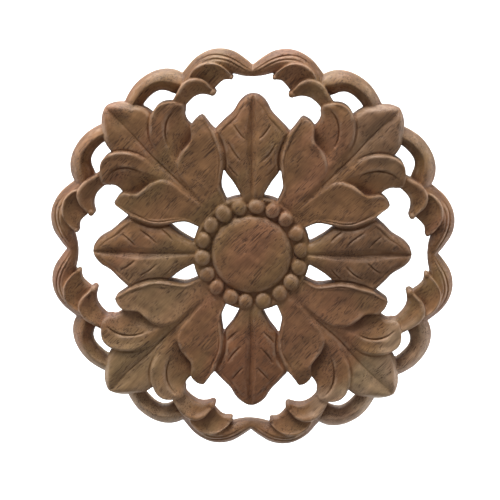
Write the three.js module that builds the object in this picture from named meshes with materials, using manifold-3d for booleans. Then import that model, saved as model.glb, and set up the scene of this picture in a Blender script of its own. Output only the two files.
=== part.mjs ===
// Carved wood applique: a pierced round rosette cut from one flat panel.
//
// Frame: millimetres, +Z up. The flat back lies on the plane y = 0 and the carving faces -Y.
// The origin is the centre of the back.
//
// The rosette has eight equal wedges. Each form is drawn once, in the wedge to the right of the
// upright axis, and repeated round the centre. The pattern is stretched between the hub and the
// rim, and between the back and the highest carving, so it follows whatever sizes are set.

import * as THREE from 'three';
import { mergeVertices } from 'three/addons/utils/BufferGeometryUtils.js';
import Module from 'manifold-3d';

const wasm = await Module();
wasm.setup();

// Driving dimensions, in millimetres
const ACROSS = 150; // rim to rim
const THICKNESS = 10.3; // back to the highest carving
const BUTTON_RADIUS = 14.3;
const BUTTON_RISE = 2.7; // top of the button above the ring that the beads stand on
const BUTTON_DOME = 0.9; // swell of the button's face above its edge
const BEAD_RADIUS = 3;
const BEAD_RISE = 2.2;
const BEAD_SPACING = 0.2; // least gap between neighbouring beads
const BEAD_GROOVE = 0.6; // between the button and the beads
const HUB_LIP = 0.9; // ledge outside the beads
const HUB_ROUNDING = 0.6; // how far the ledge's edge is rounded down

// Sizes that follow from them
const beadRing = BUTTON_RADIUS + BEAD_GROOVE + BEAD_RADIUS;
const hubRadius = beadRing + BEAD_RADIUS + HUB_LIP;
const beadSeat = THICKNESS - BUTTON_RISE;
const beadCount = Math.floor((2 * Math.PI * beadRing) / (2 * BEAD_RADIUS + BEAD_SPACING));

// The pattern that the outlines and heights below are drawn on
const PATTERN_RIM = 75;
const PATTERN_HUB = 21.8;
const PATTERN_THICKNESS = 10.3;
const RIM_FOOT = 2.4; // upright wall at the outside of the rim scrolls

const QUARTERS = 4;
const QUARTER_TURN = Math.PI / 2;
const LEAF_TURN = -Math.PI / 4; // the acanthus leaves lie on the diagonals
const FIRST_BEAD_TURN = -Math.PI / 36;
const HUB_SIDES = 36;
const BEAD_SIDES = 8;
const SLIVER = 0.03; // detail finer than this, left where surfaces cross, is smoothed away

const TIMBER = new THREE.MeshStandardMaterial({ color: 0x7d6049, roughness: 0.72, metalness: 0 });

// A form has a left and a right edge, drawn from its root to its tip with as many points each.
// Its rails run along it: each lies at a share of the way across, and its heights above the back
// are spread evenly from root to tip.

// One of the four plain leaves on the upright and level axes, right half
const AXIS_LEAF = {
  half: [
    [3.0, 17.1], [4.2, 21.8], [7.0, 26.8], [10.9, 32.5], [13.8, 44.6],
    [10.6, 48.9], [6.4, 53.5], [3.4, 57.6], [0, 59.0],
  ],
  rails: [
    { at: 0, height: [8.0, 8.6, 8.9, 8.4, 7.4, 5.6] },
    { at: 0.3, height: [8.6, 9.6, 9.9, 9.4, 8.2, 5.6] },
    { at: 1, height: [6.8, 7.2, 7.2, 6.8, 6.0, 5.2] },
  ],
};

// The middle lobe of an acanthus leaf, drawn upright, right half
const MIDDLE_LOBE = {
  half: [
    [3.0, 19.4], [6.4, 34.0], [9.2, 48.0], [10.7, 60.0],
    [10.0, 65.8], [6.9, 70.7], [3.9, 74.1], [0, 76.1],
  ],
  rails: [
    { at: 0, height: [8.0, 8.4, 8.8, 9.0, 7.8, 5.2] },
    { at: 0.32, height: [8.4, 9.4, 9.9, 10.0, 8.7, 5.2] },
    { at: 0.8, height: [7.8, 8.7, 9.1, 9.1, 7.8, 5.2] },
    { at: 1, height: [7.0, 7.4, 7.6, 7.2, 5.6, 4.8] },
  ],
};

// The lobe beside an axis leaf: rolled outer rim, dished face, raised inner lip
const INNER_LOBE = {
  left: [
    [7.9, 16.4], [11.4, 23.8], [10.8, 29.4], [10.2, 33.5], [10.6, 37.6],
    [11.9, 41.3], [13.6, 45.2], [16.0, 48.3], [17.5, 50.2], [18.4, 50.7],
  ],
  right: [
    [14.9, 14.9], [21.8, 22.6], [26.4, 29.0], [27.7, 33.1], [26.4, 37.2],
    [23.6, 40.4], [22.3, 43.6], [22.5, 46.8], [20.8, 49.2], [18.4, 50.7],
  ],
  rails: [
    { at: 0, height: [6.6, 7.4, 8.2, 8.4, 7.6, 5.4] },
    { at: 0.1, height: [7.6, 9.0, 9.5, 9.6, 8.6, 6.0] },
    { at: 0.22, height: [7.4, 8.2, 8.6, 8.8, 8.2, 6.0] },
    { at: 0.55, height: [7.6, 8.4, 8.4, 8.6, 8.3, 6.0] },
    { at: 0.95, height: [7.8, 9.0, 10.3, 10.2, 8.9, 6.0] },
    { at: 1, height: [7.4, 8.4, 9.7, 9.6, 8.2, 5.6] },
  ],
};

// The lobe that turns outwards to the rim: a hollow, a deep crease and an outer lip
const OUTER_LOBE = {
  left: [
    [21.6, 29.0], [21.5, 35.0], [21.0, 41.7], [21.8, 46.0], [24.3, 48.8],
    [24.9, 51.4], [24.4, 53.8], [23.1, 55.8], [21.6, 57.1],
  ],
  right: [
    [29.8, 31.3], [34.4, 36.2], [37.4, 41.7], [38.2, 46.5], [36.8, 51.9],
    [35.4, 53.8], [33.3, 55.5], [31.1, 56.6], [29.0, 57.5],
  ],
  rails: [
    { at: 0, height: [5.4, 5.4, 5.4, 6.0, 6.2, 6.2] },
    { at: 0.22, height: [6.4, 6.0, 6.2, 7.2, 7.2, 7.0] },
    { at: 0.5, height: [8.6, 8.2, 8.6, 8.8, 8.2, 7.4] },
    { at: 0.58, height: [9.0, 8.2, 7.9, 7.9, 7.7, 7.4] },
    { at: 0.66, height: [9.4, 9.6, 9.6, 9.4, 8.5, 7.4] },
    { at: 0.94, height: [9.2, 9.4, 9.7, 9.3, 8.5, 7.4] },
    { at: 1, height: [8.4, 8.6, 9.0, 8.4, 7.6, 6.6] },
  ],
};

// The shell-shaped curl next to the outer lobe
const NEAR_CURL = {
  left: [
    [24.6, 52.1], [23.7, 55.3], [21.8, 57.2], [19.6, 58.3],
    [17.1, 58.4], [15.5, 57.9], [14.3, 57.7], [13.7, 58.1],
  ],
  right: [
    [30.5, 54.3], [27.5, 59.6], [24.4, 63.4], [21.2, 64.6],
    [18.0, 64.0], [15.6, 62.1], [14.0, 60.3], [13.5, 58.4],
  ],
  rails: [
    { at: 0, height: [6.4, 6.2, 6.2, 6.2, 6.2, 5.8] },
    { at: 0.5, height: [7.6, 7.5, 7.2, 7.2, 7.0, 6.4] },
    { at: 0.86, height: [8.4, 8.5, 8.5, 8.4, 7.6, 6.4] },
    { at: 1, height: [7.6, 7.6, 7.6, 7.6, 6.8, 5.8] },
  ],
};

// The second curl, lying between the first one and the rim scroll
const FAR_CURL = {
  left: [
    [19.4, 59.6], [15.9, 61.0], [13.7, 60.9], [12.6, 62.2],
    [10.8, 63.7], [9.2, 64.0], [7.9, 64.1], [7.3, 64.4],
  ],
  right: [
    [23.4, 64.0], [21.6, 67.6], [18.6, 69.9], [15.3, 70.7],
    [11.9, 69.8], [9.2, 67.8], [7.5, 66.0], [7.1, 64.8],
  ],
  rails: [
    { at: 0, height: [4.8, 5.0, 5.2, 5.4, 5.4, 5.2] },
    { at: 0.5, height: [5.4, 5.6, 6.0, 6.2, 6.2, 5.6] },
    { at: 0.87, height: [7.2, 7.4, 7.4, 7.2, 6.6, 5.6] },
    { at: 1, height: [6.6, 6.7, 6.7, 6.5, 6.1, 5.0] },
  ],
};

// The rim scroll beside the axis: a rounded back with two fine fillets inside it
const AXIS_SCROLL = {
  left: [
    [-0.3, 69.0], [3.3, 71.8], [7.1, 74.1], [11.4, 75.0],
    [16.4, 74.3], [20.8, 71.8], [24.4, 67.9], [26.8, 62.9],
  ],
  right: [
    [-0.3, 65.0], [3.7, 65.4], [6.7, 66.1], [9.9, 66.3],
    [13.5, 65.7], [17.0, 63.9], [20.4, 61.6], [24.6, 58.8],
  ],
  rails: [
    { at: 0, height: [RIM_FOOT, RIM_FOOT] },
    { at: 0.07, height: [4.3, 4.9, 5.0, 4.6] },
    { at: 0.22, height: [5.4, 6.6, 6.7, 6.2] },
    { at: 0.33, height: [5.3, 5.9, 6.1, 6.0] },
    { at: 0.42, height: [5.6, 6.3, 6.4, 6.0] },
    { at: 0.52, height: [5.0, 5.5, 5.6, 5.6] },
    { at: 1, height: [2.8, 4.0, 4.0, 4.0] },
  ],
};

// The rim scroll that runs under the tip of the acanthus leaf
const LEAF_SCROLL = {
  left: [
    [23.4, 63.5], [26.4, 66.6], [30.0, 67.7], [34.0, 67.5],
    [38.5, 65.9], [43.4, 62.1], [46.7, 57.1], [47.9, 52.1],
  ],
  right: [
    [24.6, 56.6], [26.8, 58.6], [29.6, 58.8], [32.8, 60.0],
    [36.2, 59.0], [38.8, 56.5], [40.7, 53.8], [41.7, 49.9],
  ],
  rails: [
    { at: 0, height: [RIM_FOOT, RIM_FOOT] },
    { at: 0.12, height: [4.6, 4.9, 4.9, 4.6] },
    { at: 0.3, height: [5.9, 6.3, 6.3, 5.9] },
    { at: 0.48, height: [6.3, 6.6, 6.6, 6.1] },
    { at: 0.78, height: [5.0, 5.2, 5.2, 4.9] },
    { at: 1, height: [2.6, 2.6, 2.6, 2.6] },
  ],
};

/** Height at a share of the way along a rail. */
function heightAlong(heights, share) {
  const place = share * (heights.length - 1);
  const before = Math.min(Math.floor(place), heights.length - 2);
  const drawn = THREE.MathUtils.lerp(heights[before], heights[before + 1], place - before);
  return (drawn * THICKNESS) / PATTERN_THICKNESS;
}

/** A pattern point on the panel: it keeps its direction, and its share of the way hub to rim. */
function onPanel([x, y]) {
  const drawn = Math.hypot(x, y);
  const beyondHub = (drawn - PATTERN_HUB) / (PATTERN_RIM - PATTERN_HUB);
  const reach = hubRadius + beyondHub * (ACROSS / 2 - hubRadius);
  return new THREE.Vector3((x * reach) / drawn, (y * reach) / drawn, 0);
}

/** A smooth line through pattern points. */
function edgeCurve(points) {
  return new THREE.CatmullRomCurve3(points.map(onPanel), false, 'centripetal');
}

/** The full form of one drawn as a right half. */
function bothHalves({ half, rails }) {
  const left = half.map(([x, y]) => [-x, y]);
  const across = (side) => rails.map(({ at, height }) => ({ at: (1 + side * at) / 2, height }));
  return { left, right: half, rails: [...across(-1).reverse(), ...across(1).slice(1)] };
}

/** Joins equal corners and drops the flat triangles that a pointed tip leaves. */
function weld(corners, faces) {
  const loose = new THREE.BufferGeometry();
  loose.setAttribute('position', new THREE.Float32BufferAttribute(corners, 3));
  loose.setIndex(faces);
  const joined = mergeVertices(loose, 1e-3);
  const index = joined.getIndex().array;
  const kept = [];
  for (let i = 0; i < index.length; i += 3) {
    const [a, b, c] = index.slice(i, i + 3);
    if (a !== b && b !== c && c !== a) kept.push(a, b, c);
  }
  joined.setIndex(kept);
  return joined;
}

/** A closed block under a carved face: the face follows the rails, the back is flat at z = 0. */
function carvedForm({ left, right, rails }) {
  const leftEdge = edgeCurve(left);
  const rightEdge = edgeCurve(right);
  const rows = left.length;
  const columns = rails.length;
  const corners = [];
  for (let row = 0; row < rows; row += 1) {
    const share = row / (rows - 1);
    const from = leftEdge.getPoint(share);
    const to = rightEdge.getPoint(share);
    for (const { at, height } of rails) {
      const place = from.clone().lerp(to, at);
      corners.push(place.x, place.y, heightAlong(height, share));
    }
    corners.push(from.x, from.y, 0, to.x, to.y, 0);
  }

  const stride = columns + 2;
  const footLeft = columns;
  const footRight = columns + 1;
  const faces = [];
  const quad = (a, b, c, d) => faces.push(a, b, c, a, c, d);
  for (let row = 0; row < rows - 1; row += 1) {
    const here = row * stride;
    const next = here + stride;
    for (let column = 0; column < columns - 1; column += 1) {
      quad(here + column, here + column + 1, next + column + 1, next + column);
    }
    quad(here + footLeft, here, next, next + footLeft);
    quad(here + columns - 1, here + footRight, next + footRight, next + columns - 1);
    quad(here + footRight, here + footLeft, next + footLeft, next + footRight);
  }
  const endWall = (here, turned) => {
    const ring = [...Array(columns).keys(), footRight].map((column) => here + column);
    for (let i = 0; i < ring.length - 1; i += 1) {
      const fan = [here + footLeft, ring[i + 1], ring[i]];
      faces.push(...(turned ? fan.reverse() : fan));
    }
  };
  endWall(0, false);
  endWall((rows - 1) * stride, true);
  return weld(corners, faces);
}

/** The geometry turned about the rosette's centre, and mirrored when hand is -1. */
function placed(geometry, turn, hand) {
  const copy = geometry.clone();
  copy.applyMatrix4(new THREE.Matrix4().makeScale(hand, 1, 1));
  if (hand < 0) copy.setIndex(Array.from(copy.getIndex().array).reverse());
  copy.rotateZ(turn);
  return copy;
}

/** A manifold solid of a closed geometry. */
function solidOf(geometry) {
  const bare = geometry.clone();
  bare.deleteAttribute('normal');
  bare.deleteAttribute('uv');
  const joined = mergeVertices(bare, 1e-3);
  return new wasm.Manifold(
    new wasm.Mesh({
      numProp: 3,
      vertProperties: new Float32Array(joined.getAttribute('position').array),
      triVerts: new Uint32Array(joined.getIndex().array),
    }),
  );
}

/** A profile of [radius, height] pairs turned about the upright axis of the panel. */
function turned(profile, sides) {
  const points = profile.map(([radius, height]) => new THREE.Vector2(radius, height));
  return new THREE.LatheGeometry(points, sides).rotateX(QUARTER_TURN);
}

/** The hub: a drum with a rounded ledge, the ring that the beads stand on, and the button. */
function hubGeometry() {
  const buttonEdge = THICKNESS - BUTTON_DOME;
  return turned(
    [
      [0, 0],
      [hubRadius, 0],
      [hubRadius, beadSeat - HUB_ROUNDING],
      [hubRadius - HUB_ROUNDING, beadSeat],
      [BUTTON_RADIUS + BEAD_GROOVE / 2, beadSeat],
      [BUTTON_RADIUS, buttonEdge],
      [BUTTON_RADIUS * 0.93, buttonEdge + BUTTON_DOME / 2],
      [BUTTON_RADIUS * 0.6, THICKNESS - BUTTON_DOME / 9],
      [0, THICKNESS],
    ],
    HUB_SIDES,
  );
}

/** One bead: a low dome on a short stem sunk into the drum. */
function beadGeometry() {
  const bead = turned(
    [
      [0, beadSeat / 2],
      [BEAD_RADIUS, beadSeat / 2],
      [BEAD_RADIUS, beadSeat + BEAD_RISE * 0.3],
      [BEAD_RADIUS * 0.72, beadSeat + BEAD_RISE * 0.82],
      [0, beadSeat + BEAD_RISE],
    ],
    BEAD_SIDES,
  );
  return bead.translate(0, beadRing, 0);
}

/** Every form of the rosette, each in all its places. */
function allForms() {
  const forms = [];
  const repeat = (geometry, count, firstTurn = 0, hands = [1]) => {
    for (let i = 0; i < count; i += 1) {
      const turn = firstTurn + (i * 2 * Math.PI) / count;
      for (const hand of hands) forms.push(placed(geometry, turn, hand));
    }
  };
  repeat(hubGeometry(), 1);
  repeat(carvedForm(bothHalves(AXIS_LEAF)), QUARTERS);
  repeat(carvedForm(bothHalves(MIDDLE_LOBE)), QUARTERS, LEAF_TURN);
  for (const form of [INNER_LOBE, OUTER_LOBE, NEAR_CURL, FAR_CURL, LEAF_SCROLL, AXIS_SCROLL]) {
    repeat(carvedForm(form), QUARTERS, 0, [1, -1]);
  }
  repeat(beadGeometry(), beadCount, FIRST_BEAD_TURN);
  return forms;
}

/** All the forms joined into the one solid that they are carved from. */
function rosetteGeometry() {
  const [first, ...others] = allForms().map(solidOf);
  let rosette = first;
  for (const other of others) rosette = rosette.add(other);
  const mesh = rosette.asOriginal().simplify(SLIVER).getMesh();
  const geometry = new THREE.BufferGeometry();
  geometry.setAttribute('position', new THREE.BufferAttribute(mesh.vertProperties, 3));
  geometry.setIndex(new THREE.BufferAttribute(mesh.triVerts, 1));
  return geometry;
}

const rosette = new THREE.Mesh(rosetteGeometry(), TIMBER);
rosette.name = 'carved_rosette';
rosette.rotation.x = QUARTER_TURN;

const applique = new THREE.Group();
applique.add(rosette);

export default applique;
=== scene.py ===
"""Carves the fine face of a round wooden applique and sets it in a pale studio.

The rosette is drawn as a flat pattern, in millimetres, with x to the right, y up and heights
above its back. Once it is carved it is stood up, back to the plane y = 0 and face towards -Y.
"""

import logging
import math
from collections.abc import Sequence
from dataclasses import dataclass, field
from enum import Enum

import bpy
import numpy as np
from mathutils import Matrix, Vector


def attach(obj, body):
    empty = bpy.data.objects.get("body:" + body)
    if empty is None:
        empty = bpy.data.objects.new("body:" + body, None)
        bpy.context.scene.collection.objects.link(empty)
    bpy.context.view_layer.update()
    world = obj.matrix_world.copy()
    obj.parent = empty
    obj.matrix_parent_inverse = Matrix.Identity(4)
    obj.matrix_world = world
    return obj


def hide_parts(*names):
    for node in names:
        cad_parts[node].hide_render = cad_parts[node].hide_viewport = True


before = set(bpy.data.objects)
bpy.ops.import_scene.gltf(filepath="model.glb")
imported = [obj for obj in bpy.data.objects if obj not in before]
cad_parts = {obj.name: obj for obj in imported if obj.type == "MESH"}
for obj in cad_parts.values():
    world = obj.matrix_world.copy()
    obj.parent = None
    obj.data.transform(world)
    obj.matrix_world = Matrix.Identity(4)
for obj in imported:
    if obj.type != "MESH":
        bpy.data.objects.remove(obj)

LOG = logging.getLogger("rosette")
MM = 0.001
WELD = MM / 1000
FACING_UP = 0.9

Point = tuple[float, float]
Colour = tuple[float, float, float]


# Lines and heights


def between(start: np.ndarray, end: np.ndarray, leaving: np.ndarray, arriving: np.ndarray,
            share: np.ndarray) -> np.ndarray:
    """Joins two values with the slopes given at each.

    Args:
        start: Values where share is 0.
        end: Values where share is 1.
        leaving: Slopes at the start.
        arriving: Slopes at the end.
        share: Places between them, from 0 to 1.

    Returns:
        The values at those places.
    """
    square, cube = share**2, share**3
    ends = (2 * cube - 3 * square + 1) * start + (3 * square - 2 * cube) * end
    return ends + (cube - 2 * square + share) * leaving + (cube - square) * arriving


def smooth_line(points: Sequence[Point], shares: np.ndarray) -> np.ndarray:
    """Follows a smooth line through points of the pattern.

    Args:
        points: The points, in order.
        shares: Places along the line, where each stretch between two points counts the same.

    Returns:
        One row of x and y for each place.
    """
    known = np.array(points)
    known = np.vstack([2 * known[0] - known[1], known, 2 * known[-1] - known[-2]])
    place = shares * (len(points) - 1)
    index = np.minimum(place.astype(int), len(points) - 2)
    before, start, end, after = (known[index + step] for step in range(4))
    first, middle, last = (
        np.linalg.norm(far - near, axis=1, keepdims=True) ** 0.5
        for near, far in ((before, start), (start, end), (end, after))
    )
    leaving = (start - before) / first - (end - before) / (first + middle) + (end - start) / middle
    arriving = (end - start) / middle - (after - start) / (middle + last) + (after - end) / last
    return between(start, end, leaving * middle, arriving * middle, (place - index)[:, None])


def read_heights(places: np.ndarray, heights: np.ndarray, shares: np.ndarray) -> np.ndarray:
    """Reads heights between known places, smooth but never past their highs and lows.

    Args:
        places: The known places, rising.
        heights: One row of heights for each known place.
        shares: The places to read.

    Returns:
        One row of heights for each place read.
    """
    gaps = np.diff(places)[:, None]
    slopes = np.diff(heights, axis=0) / gaps
    product = slopes[:-1] * slopes[1:]
    total = slopes[:-1] + slopes[1:]
    inner = np.where(product > 0, 2 * product / np.where(total == 0, 1, total), 0)
    tangents = np.vstack([slopes[:1], inner, slopes[-1:]])
    index = np.clip(np.searchsorted(places, shares, side="right") - 1, 0, len(places) - 2)
    gap = gaps[index]
    share = (shares[:, None] - places[index][:, None]) / gap
    return between(heights[index], heights[index + 1], tangents[index] * gap,
                   tangents[index + 1] * gap, share)


# Working on objects


def only(*objects: bpy.types.Object) -> None:
    """Selects these objects and nothing else, with the first one active.

    Args:
        *objects: What to select.
    """
    bpy.ops.object.select_all(action="DESELECT")
    for item in objects:
        item.select_set(True)
    bpy.context.view_layer.objects.active = objects[0]


def apply_modifier(item: bpy.types.Object, kind: str, **settings: object) -> None:
    """Adds a modifier with its settings and applies it.

    Args:
        item: The object to change.
        kind: The modifier's type.
        **settings: Its properties.
    """
    only(item)
    modifier = item.modifiers.new(kind.title(), kind)
    for name, value in settings.items():
        setattr(modifier, name, value)
    bpy.ops.object.modifier_apply(modifier=modifier.name)


def placed_copy(item: bpy.types.Object, placement: Matrix) -> bpy.types.Object:
    """Copies an object with a mesh of its own, moved as the matrix says.

    Args:
        item: The object to copy.
        placement: Where the copy goes, mirrored or not.

    Returns:
        The copy, with its faces outwards.
    """
    copy = item.copy()
    copy.data = item.data.copy()
    copy.data.transform(placement)
    if placement.determinant() < 0:
        copy.data.flip_normals()
    bpy.context.collection.objects.link(copy)
    return copy


def corners_of(item: bpy.types.Object) -> np.ndarray:
    """Reads where an object's mesh corners are.

    Args:
        item: The object to read.

    Returns:
        Rows of x, y and z, in metres.
    """
    flat = np.empty(len(item.data.vertices) * 3, dtype=np.float32)
    item.data.vertices.foreach_get("co", flat)
    return flat.reshape(-1, 3)


def move_corners(item: bpy.types.Object, corners: np.ndarray) -> None:
    """Puts an object's mesh corners at new places."""
    item.data.vertices.foreach_set("co", corners.astype(np.float32).ravel())
    item.data.update()


# The pattern's forms


class Repeat(Enum):
    """Where a form drawn beside the upright axis stands round the hub."""

    ON_AXES = 0
    ON_DIAGONALS = 1
    IN_WEDGES = 2

    def placements(self) -> list[Matrix]:
        """Works out where every copy goes.

        Returns:
            The four turns, and for a form in the wedges the four mirrored turns too.
        """
        first = -math.pi / 4 if self is Repeat.ON_DIAGONALS else 0.0
        turns = [Matrix.Rotation(first + quarter * math.pi / 2, 4, "Z") for quarter in range(4)]
        if self is not Repeat.IN_WEDGES:
            return turns
        mirror = Matrix.Scale(-1, 4, Vector((1, 0, 0)))
        return turns + [turn @ mirror for turn in turns]


@dataclass(frozen=True)
class Rail:
    """A run of heights along a form, a share of the way across it.

    Attributes:
        at: The share of the way from its left edge to its right one.
        heights: Millimetres above the back, spread evenly from root to tip.
    """

    at: float
    heights: tuple[float, ...]


@dataclass(frozen=True)
class Form:
    """One leaf, lobe, curl or scroll, carved between a left and a right edge.

    Attributes:
        name: What it is called.
        left: Points of its left edge, root to tip.
        right: Points of its right edge, as many as on the left.
        rails: Its surface, from the left edge to the right one.
        repeat: Where its copies stand.
        columns: Faces across it.
        stations: Faces along it.
    """

    name: str
    left: tuple[Point, ...]
    right: tuple[Point, ...]
    rails: tuple[Rail, ...]
    repeat: Repeat = Repeat.IN_WEDGES
    columns: int = 44
    stations: int = 64

    @classmethod
    def from_half(cls, name: str, half: tuple[Point, ...], rails: tuple[Rail, ...],
                  repeat: Repeat) -> "Form":
        """Makes a whole form from its right half.

        Args:
            name: What it is called.
            half: Points of its right edge.
            rails: Its surface from the middle to the right edge.
            repeat: Where its copies stand.

        Returns:
            The form with both halves.
        """
        left = tuple((-x, y) for x, y in half)
        far = tuple(Rail((1 - rail.at) / 2, rail.heights) for rail in reversed(rails))
        near = tuple(Rail((1 + rail.at) / 2, rail.heights) for rail in rails[1:])
        return cls(name, left, half, far + near, repeat, columns=72)

    def surface(self) -> tuple[np.ndarray, np.ndarray, np.ndarray]:
        """Works out the carved surface.

        Returns:
            The left edge, the right edge and the heights, which have one row for each line
            of corners across the form and one column for each along it.
        """
        along = np.linspace(0, 1, self.stations + 1)
        across = np.linspace(0, 1, self.columns + 1)
        runs = [
            read_heights(np.linspace(0, 1, len(rail.heights)), np.array(rail.heights)[:, None],
                         along)
            for rail in self.rails
        ]
        places = np.array([rail.at for rail in self.rails])
        heights = read_heights(places, np.hstack(runs).T, across)
        return smooth_line(self.left, along), smooth_line(self.right, along), heights

    def build(self) -> bpy.types.Object:
        """Models one copy: a grid laid on the carved surface and drawn down to a flat back.

        Returns:
            The closed block, in the pattern's own plane.
        """
        bpy.ops.object.select_all(action="DESELECT")
        bpy.ops.mesh.primitive_grid_add(x_subdivisions=self.columns, y_subdivisions=self.stations,
                                        size=1)
        block = bpy.context.object
        block.name = self.name
        left, right, heights = self.surface()
        grid = corners_of(block) + 0.5
        column = np.rint(grid[:, 0] * self.columns).astype(int)
        row = np.rint(grid[:, 1] * self.stations).astype(int)
        share = (column / self.columns)[:, None]
        plan = left[row] * (1 - share) + right[row] * share
        move_corners(block, np.column_stack([plan, heights[column, row]]) * MM)
        bpy.ops.object.mode_set(mode="EDIT")
        bpy.ops.mesh.select_all(action="SELECT")
        bpy.ops.mesh.extrude_region_move(TRANSFORM_OT_translate={"value": (0, 0, -MM)})
        bpy.ops.transform.resize(value=(1, 1, 0), center_override=(0, 0, 0))
        bpy.ops.mesh.select_all(action="SELECT")
        bpy.ops.mesh.remove_doubles(threshold=WELD)
        bpy.ops.mesh.normals_make_consistent(inside=False)
        bpy.ops.object.mode_set(mode="OBJECT")
        return block


AXIS_LEAF = Form.from_half(
    "axis_leaf",
    half=(
        (3.0, 17.1), (4.2, 21.8), (7.0, 26.8), (9.9, 30.5), (11.5, 35.4), (12.8, 40.9),
        (13.7, 44.8), (11.1, 48.4), (7.4, 52.3), (5.0, 56.1), (2.3, 58.4), (0, 59.0),
    ),
    rails=(
        Rail(0, (6.4, 8.1, 8.3, 8.3, 8.2, 8.0, 7.7, 7.3, 7.0, 6.7, 6.3, 5.5)),
        Rail(0.08, (6.4, 8.2, 8.5, 8.6, 8.6, 8.4, 8.1, 7.7, 7.3, 6.9, 6.4, 5.5)),
        Rail(0.2, (6.4, 8.6, 9.1, 9.3, 9.4, 9.4, 9.1, 8.7, 8.2, 7.6, 6.7, 5.6)),
        Rail(0.4, (6.4, 8.6, 9.1, 9.4, 9.5, 9.5, 9.3, 8.9, 8.4, 7.8, 6.7, 5.6)),
        Rail(0.6, (6.4, 8.4, 8.9, 9.2, 9.3, 9.2, 8.9, 8.6, 8.3, 7.7, 6.5, 5.5)),
        Rail(0.75, (6.4, 8.2, 8.5, 8.7, 8.8, 8.8, 8.6, 8.3, 8.0, 7.3, 6.1, 5.4)),
        Rail(0.86, (6.4, 7.8, 8.0, 8.1, 8.2, 8.3, 8.7, 8.4, 7.5, 6.6, 5.8, 5.3)),
        Rail(0.93, (6.4, 7.4, 7.6, 7.6, 7.7, 7.9, 8.2, 7.6, 6.8, 6.1, 5.5, 5.2)),
        Rail(1, (6.2, 6.8, 7.0, 7.0, 7.0, 7.0, 6.8, 6.4, 6.0, 5.6, 5.2, 5.0)),
    ),
    repeat=Repeat.ON_AXES,
)

MIDDLE_LOBE = Form.from_half(
    "middle_lobe",
    half=(
        (3.0, 19.4), (4.8, 26.1), (6.7, 35.4), (8.6, 44.7), (10.2, 54.0), (10.7, 61.5),
        (9.8, 66.4), (7.2, 70.4), (5.6, 72.6), (3.5, 74.5), (1.3, 75.7), (0, 76.1),
    ),
    rails=(
        Rail(0, (7.4, 8.7, 8.6, 8.4, 8.2, 7.8, 7.5, 7.2, 6.9, 6.5, 5.8, 5.2)),
        Rail(0.08, (7.4, 8.8, 8.8, 8.6, 8.4, 8.0, 7.7, 7.4, 7.2, 6.8, 5.9, 5.2)),
        Rail(0.24, (7.4, 8.9, 9.1, 8.9, 8.7, 8.4, 8.2, 8.0, 7.8, 7.1, 6.0, 5.2)),
        Rail(0.34, (7.4, 8.7, 9.1, 9.1, 8.7, 8.6, 8.6, 8.4, 8.1, 7.2, 6.0, 5.2)),
        Rail(0.52, (7.2, 8.0, 8.3, 8.4, 8.3, 8.6, 8.8, 8.6, 8.2, 7.1, 5.9, 5.2)),
        Rail(0.74, (7.0, 7.6, 7.8, 7.9, 8.1, 8.5, 8.7, 8.2, 7.3, 6.6, 5.7, 5.1)),
        Rail(0.84, (6.8, 7.4, 7.6, 7.6, 7.8, 8.3, 8.4, 7.4, 6.6, 6.0, 5.5, 5.0)),
        Rail(1, (6.6, 7.0, 7.2, 7.2, 7.0, 6.6, 6.4, 6.0, 5.7, 5.4, 5.1, 4.8)),
    ),
    repeat=Repeat.ON_DIAGONALS,
)

INNER_LOBE = Form(
    "inner_lobe",
    left=(
        (7.9, 16.4), (9.7, 20.1), (11.4, 24.4), (10.8, 29.4), (10.2, 33.5), (10.6, 37.6),
        (11.9, 41.3), (13.5, 45.0), (14.9, 46.8), (16.3, 48.7), (17.5, 50.3), (18.4, 50.8),
    ),
    right=(
        (14.9, 14.9), (18.6, 19.0), (22.5, 24.2), (26.4, 29.0), (27.5, 33.1), (26.4, 37.0),
        (24.2, 39.8), (22.5, 41.9), (22.3, 44.5), (22.4, 47.2), (20.4, 49.6), (18.4, 50.8),
    ),
    rails=(
        Rail(0, (6.0, 6.8, 7.2, 7.6, 7.8, 7.9, 7.9, 7.7, 7.5, 7.2, 6.6, 5.6)),
        Rail(0.03, (6.2, 7.8, 8.4, 8.9, 9.1, 9.2, 9.1, 8.9, 8.6, 8.1, 7.3, 6.0)),
        Rail(0.07, (6.4, 8.2, 8.9, 9.4, 9.6, 9.7, 9.6, 9.4, 9.1, 8.5, 7.6, 6.1)),
        Rail(0.11, (6.4, 8.2, 8.9, 9.3, 9.5, 9.6, 9.5, 9.3, 9.0, 8.4, 7.6, 6.1)),
        Rail(0.15, (6.4, 8.1, 8.6, 8.9, 9.0, 9.1, 9.0, 8.9, 8.6, 8.1, 7.5, 6.1)),
        Rail(0.22, (6.6, 8.2, 8.7, 9.0, 9.1, 9.1, 9.1, 9.0, 8.7, 8.2, 7.5, 6.1)),
        Rail(0.45, (7.0, 8.5, 8.9, 8.9, 8.9, 8.9, 9.0, 9.0, 8.8, 8.3, 7.6, 6.1)),
        Rail(0.7, (7.3, 8.8, 9.2, 9.2, 9.2, 9.2, 9.2, 9.2, 8.9, 8.4, 7.7, 6.1)),
        Rail(0.85, (7.4, 9.0, 9.4, 9.6, 9.6, 9.6, 9.6, 9.5, 9.2, 8.6, 7.8, 6.1)),
        Rail(0.93, (7.4, 9.0, 9.5, 9.8, 9.9, 9.9, 9.9, 9.7, 9.3, 8.7, 7.8, 6.1)),
        Rail(0.97, (7.4, 8.9, 9.4, 9.7, 9.8, 9.8, 9.8, 9.6, 9.2, 8.5, 7.6, 6.0)),
        Rail(1, (7.4, 8.6, 9.0, 9.2, 9.3, 9.3, 9.2, 9.0, 8.6, 8.0, 7.2, 5.8)),
    ),
)

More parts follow.
